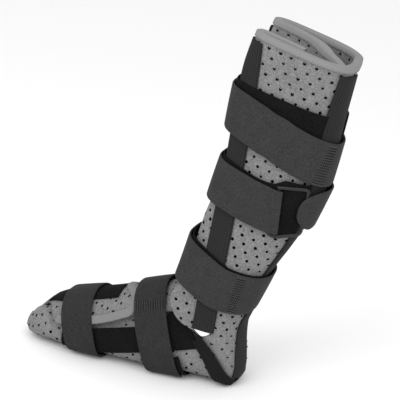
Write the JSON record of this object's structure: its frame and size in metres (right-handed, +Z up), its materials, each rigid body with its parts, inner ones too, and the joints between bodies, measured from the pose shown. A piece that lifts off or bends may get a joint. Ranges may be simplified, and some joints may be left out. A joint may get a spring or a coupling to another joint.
{
  "type": "walking boot",
  "caption": "Soft perforated foam walking boot with webbing stays and hook-and-loop straps round the leg and foot.",
  "frame": {"origin": "on the floor under the middle of the boot's box", "axes": "+Z up, +X towards the heel, -X towards the toe, -Y the side the ring is on"},
  "size_m": [0.3674, 0.105, 0.4246],
  "materials": {
    "foam": "brushed grey foam laminate, perforated",
    "binding": "plain grey knit binding",
    "webbing": "ribbed black webbing",
    "loop": "black brushed loop strap",
    "strap": "charcoal brushed strap",
    "ring": "satin black moulded ring",
    "stay": "pale satin plastic"
  },
  "bodies": {
    "root": {"leg_wrap": "foam", "foot_wrap": "foam", "rim_binding": "binding", "foot_binding": "binding", "side_stay_near": "webbing", "side_stay_far": "webbing", "back_webbing": "webbing", "heel_band": "webbing", "foot_band_near": "loop", "foot_band_far": "loop", "stay_tip_near": "stay", "stay_tip_far": "stay", "foot_top_strip": "loop", "top_keeper": "loop", "top_strap": "strap", "calf_keeper": "loop", "calf_strap": "strap", "calf_ring": "ring", "ankle_keeper": "loop", "ankle_strap": "strap", "toe_strap": "strap", "instep_keeper": "loop", "instep_strap": "strap"}
  },
  "joints": []
}
